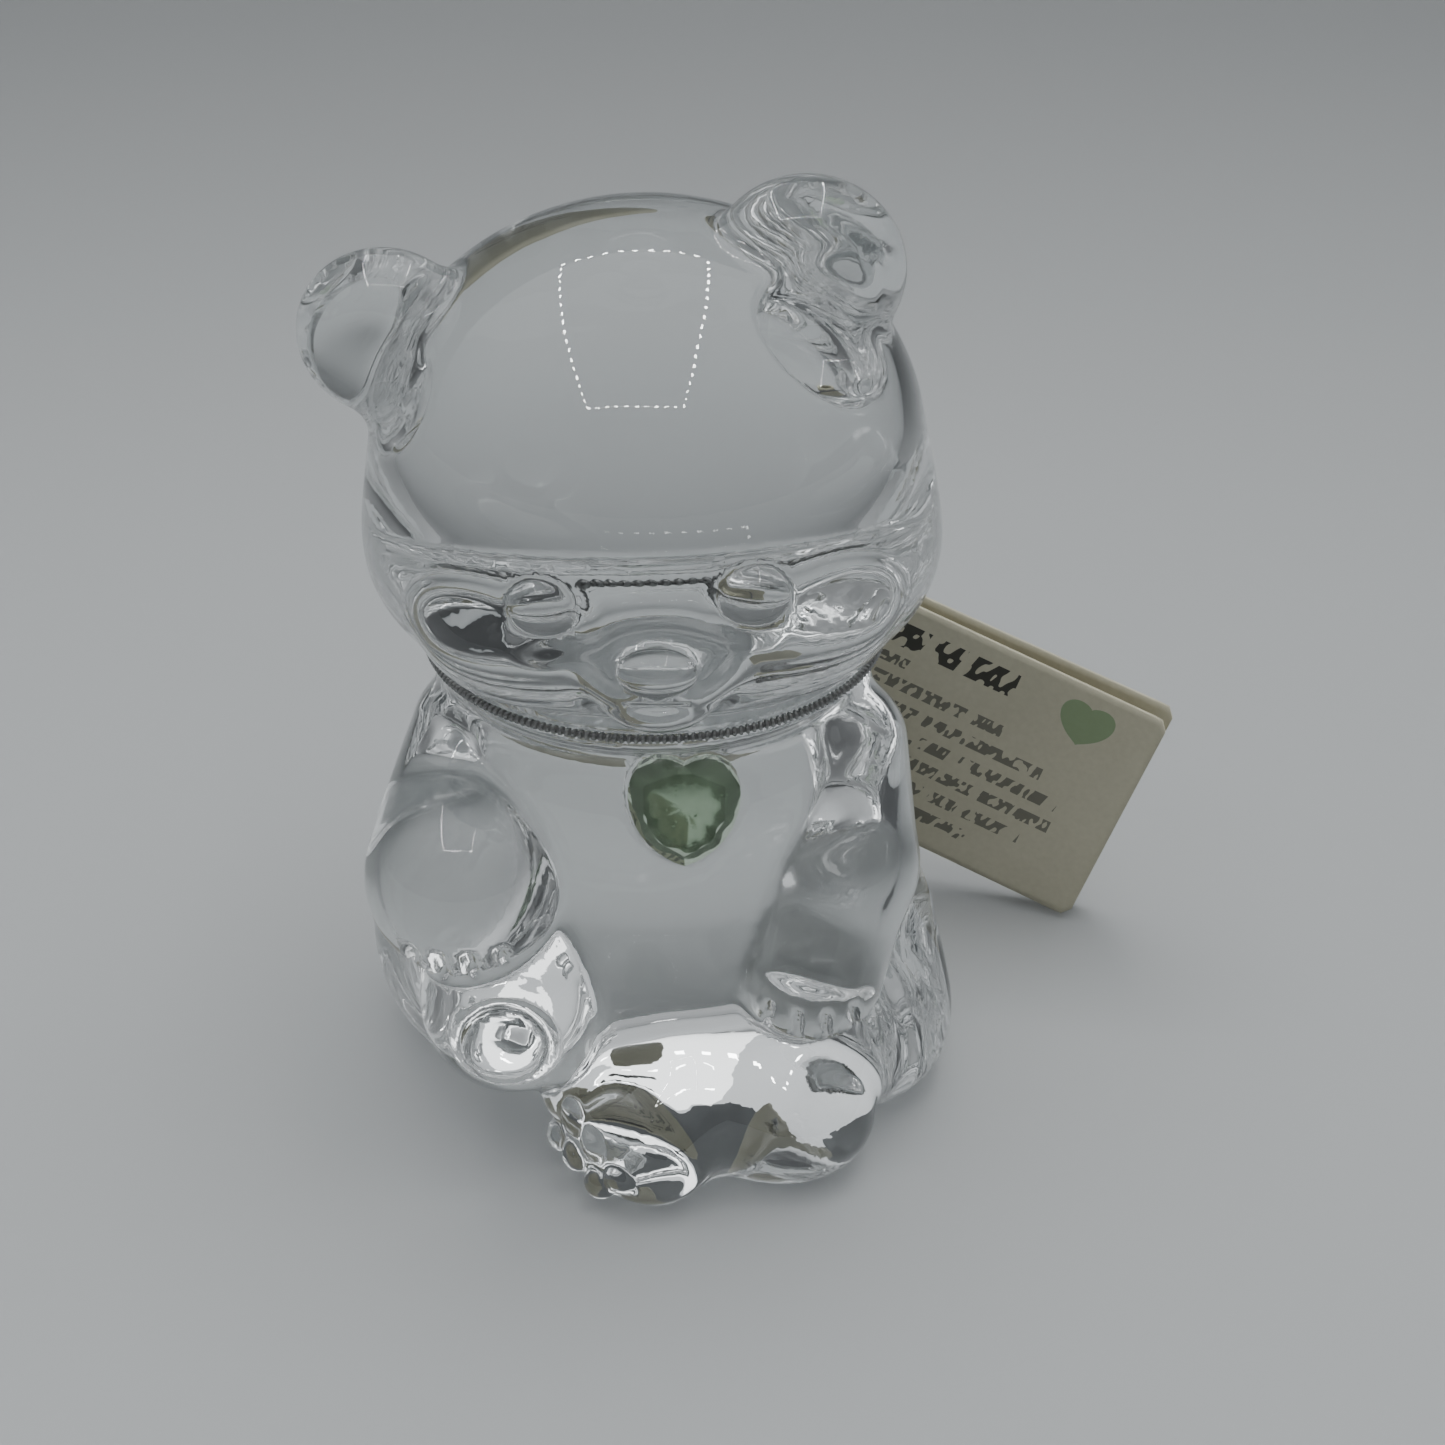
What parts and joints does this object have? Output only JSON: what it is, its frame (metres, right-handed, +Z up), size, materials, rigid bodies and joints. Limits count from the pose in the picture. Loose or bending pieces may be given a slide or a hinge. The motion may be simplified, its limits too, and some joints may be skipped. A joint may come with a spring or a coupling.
{
  "type": "glass bear figurine",
  "caption": "Clear glass sitting bear cub with a green heart stone in its chest, a silver neck cord and a hanging folded card tag.",
  "frame": {"origin": "centre of the bear's flat base, on the table", "axes": "+Z up, the bear faces -Y, +X to the left arm's side"},
  "size_m": [0.081, 0.0623, 0.0887],
  "materials": {
    "clear_glass": "fire-polished pressed clear glass",
    "green_glass": "faceted pale green stone",
    "clear_adhesive": "clear cured adhesive with small bubbles",
    "elastic": "pale elastic core",
    "silver_wrap": "metallic silver foil yarn",
    "cream_card": null
  },
  "bodies": {
    "figurine": {"glass_bear": "clear_glass", "gem_adhesive": "clear_adhesive", "heart_gem": "green_glass"},
    "neck_cord": {"neck_cord_core": "elastic", "neck_cord_wrap": "silver_wrap", "cord_knot": "silver_wrap", "cord_tails": "silver_wrap"},
    "tie": {"tie_loop": "silver_wrap"},
    "tag": {"tag_front_leaf": "cream_card"},
    "tag_cover": {"tag_back_leaf": "cream_card"}
  },
  "joints": [
    {"name": "cord_turn", "type": "hinge", "parent": "figurine", "child": "neck_cord", "pos_m": [0, 0, 0.0456], "axis": [0, 0.0872, 0.9962], "range_deg": [-40, 60]},
    {"name": "tie_lift", "type": "hinge", "parent": "neck_cord", "child": "tie", "pos_m": [0.00752, 0.02059, 0.0438], "axis": [0.9397, -0.342, 0], "range_deg": [0, 50]},
    {"name": "tag_swing", "type": "hinge", "parent": "tie", "child": "tag", "pos_m": [0.00771, 0.02614, 0.03689], "axis": [-0.342, -0.9397, 0], "range_deg": [0, 38]},
    {"name": "tag_open", "type": "hinge", "parent": "tag", "child": "tag_cover", "pos_m": [-0.00231, 0.03122, 0.0152], "axis": [0.2747, -0.1, 0.9563], "range_deg": [0, 140]}
  ]
}
